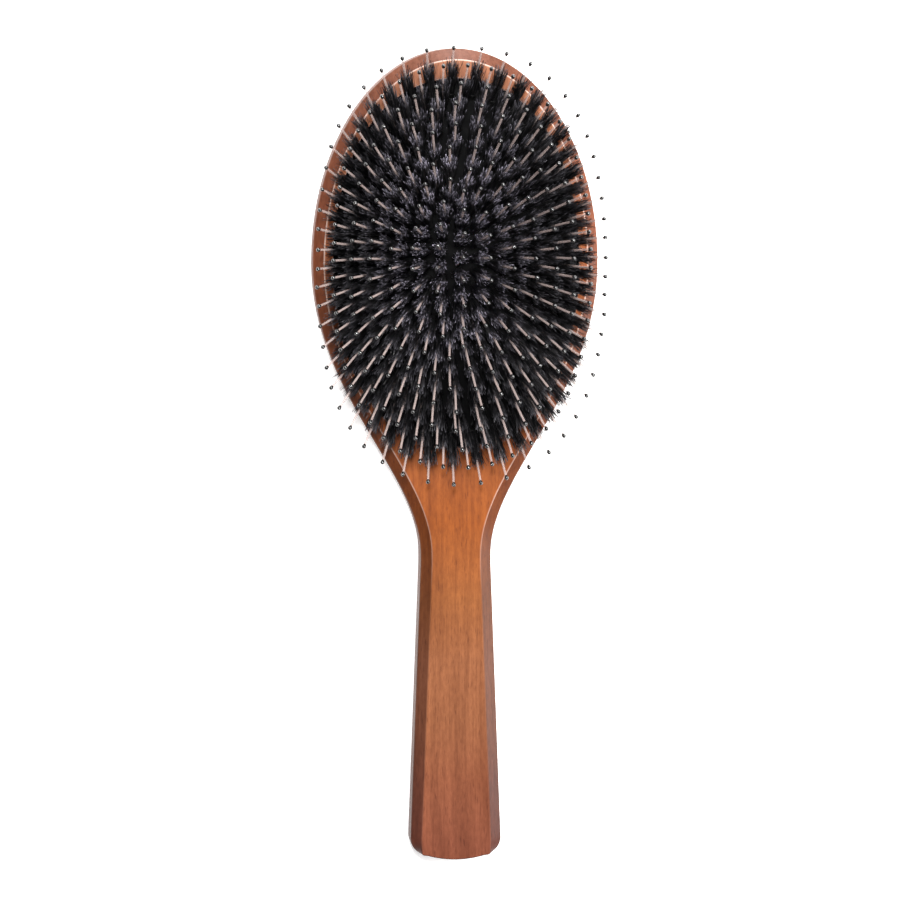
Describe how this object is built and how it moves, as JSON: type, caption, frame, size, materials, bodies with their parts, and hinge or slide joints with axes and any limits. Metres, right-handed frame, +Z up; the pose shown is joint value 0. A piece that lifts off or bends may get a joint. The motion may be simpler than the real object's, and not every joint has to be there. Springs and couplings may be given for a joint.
{
  "type": "cushion hairbrush",
  "caption": "Oval wooden paddle hairbrush with a bevelled handle, a domed rubber cushion and fanned bristle tufts round ball-tipped pins.",
  "frame": {"origin": "under the middle of the whole brush, on the plane of the flat wooden back", "axes": "+X across the head, +Y along the brush from the handle to the head, +Z up from the back through the tufts"},
  "size_m": [0.085, 0.2411, 0.04],
  "materials": {
    "wood": "satin varnish over fine straight grain",
    "cushion": "matt black rubber",
    "sleeve": "satin black",
    "bristle": "black natural bristle, slight sheen",
    "pin": "pale translucent nylon",
    "tip": "glossy black"
  },
  "bodies": {
    "body": {"brush_body": "wood", "rubber_cushion": "cushion"},
    "tuft_ring_1": {"tuft_sleeves_ring_1": "sleeve", "boar_bristles_ring_1": "bristle", "nylon_pins_ring_1": "pin", "ball_tips_ring_1": "tip"},
    "tuft_ring_2": {"tuft_sleeves_ring_2": "sleeve", "boar_bristles_ring_2": "bristle", "nylon_pins_ring_2": "pin", "ball_tips_ring_2": "tip"},
    "tuft_ring_3": {"tuft_sleeves_ring_3": "sleeve", "boar_bristles_ring_3": "bristle", "nylon_pins_ring_3": "pin", "ball_tips_ring_3": "tip"},
    "tuft_ring_4": {"tuft_sleeves_ring_4": "sleeve", "boar_bristles_ring_4": "bristle", "nylon_pins_ring_4": "pin", "ball_tips_ring_4": "tip"},
    "tuft_ring_5": {"tuft_sleeves_ring_5": "sleeve", "boar_bristles_ring_5": "bristle", "nylon_pins_ring_5": "pin", "ball_tips_ring_5": "tip"},
    "tuft_ring_6": {"tuft_sleeves_ring_6": "sleeve", "boar_bristles_ring_6": "bristle", "nylon_pins_ring_6": "pin", "ball_tips_ring_6": "tip"},
    "tuft_ring_7": {"tuft_sleeves_ring_7": "sleeve", "boar_bristles_ring_7": "bristle", "nylon_pins_ring_7": "pin", "ball_tips_ring_7": "tip"},
    "tuft_ring_8": {"tuft_sleeves_ring_8": "sleeve", "boar_bristles_ring_8": "bristle", "nylon_pins_ring_8": "pin", "ball_tips_ring_8": "tip"}
  },
  "joints": [
    {"name": "cushion_press", "type": "slide", "parent": "body", "child": "tuft_ring_8", "axis": [0, 0, -1], "range_m": [0, 0.005], "stiffness_N_per_m": 400, "deforming": ["rubber_cushion"]},
    {"name": "cushion_press_ring_1", "type": "slide", "parent": "body", "child": "tuft_ring_1", "axis": [0, 0, -1], "range_m": [0, 0.00228], "stiffness_N_per_m": 60},
    {"name": "cushion_press_ring_2", "type": "slide", "parent": "body", "child": "tuft_ring_2", "axis": [0, 0, -1], "range_m": [0, 0.00319], "stiffness_N_per_m": 60},
    {"name": "cushion_press_ring_3", "type": "slide", "parent": "body", "child": "tuft_ring_3", "axis": [0, 0, -1], "range_m": [0, 0.00381], "stiffness_N_per_m": 60},
    {"name": "cushion_press_ring_4", "type": "slide", "parent": "body", "child": "tuft_ring_4", "axis": [0, 0, -1], "range_m": [0, 0.00426], "stiffness_N_per_m": 60},
    {"name": "cushion_press_ring_5", "type": "slide", "parent": "body", "child": "tuft_ring_5", "axis": [0, 0, -1], "range_m": [0, 0.00459], "stiffness_N_per_m": 60},
    {"name": "cushion_press_ring_6", "type": "slide", "parent": "body", "child": "tuft_ring_6", "axis": [0, 0, -1], "range_m": [0, 0.00483], "stiffness_N_per_m": 60},
    {"name": "cushion_press_ring_7", "type": "slide", "parent": "body", "child": "tuft_ring_7", "axis": [0, 0, -1], "range_m": [0, 0.00499], "stiffness_N_per_m": 60}
  ],
  "couplings": [
    {"joint": "cushion_press_ring_1", "follows": "cushion_press", "ratio": 0.4454},
    {"joint": "cushion_press_ring_2", "follows": "cushion_press", "ratio": 0.6283},
    {"joint": "cushion_press_ring_3", "follows": "cushion_press", "ratio": 0.7514},
    {"joint": "cushion_press_ring_4", "follows": "cushion_press", "ratio": 0.8413},
    {"joint": "cushion_press_ring_5", "follows": "cushion_press", "ratio": 0.908},
    {"joint": "cushion_press_ring_6", "follows": "cushion_press", "ratio": 0.9561},
    {"joint": "cushion_press_ring_7", "follows": "cushion_press", "ratio": 0.9881}
  ]
}
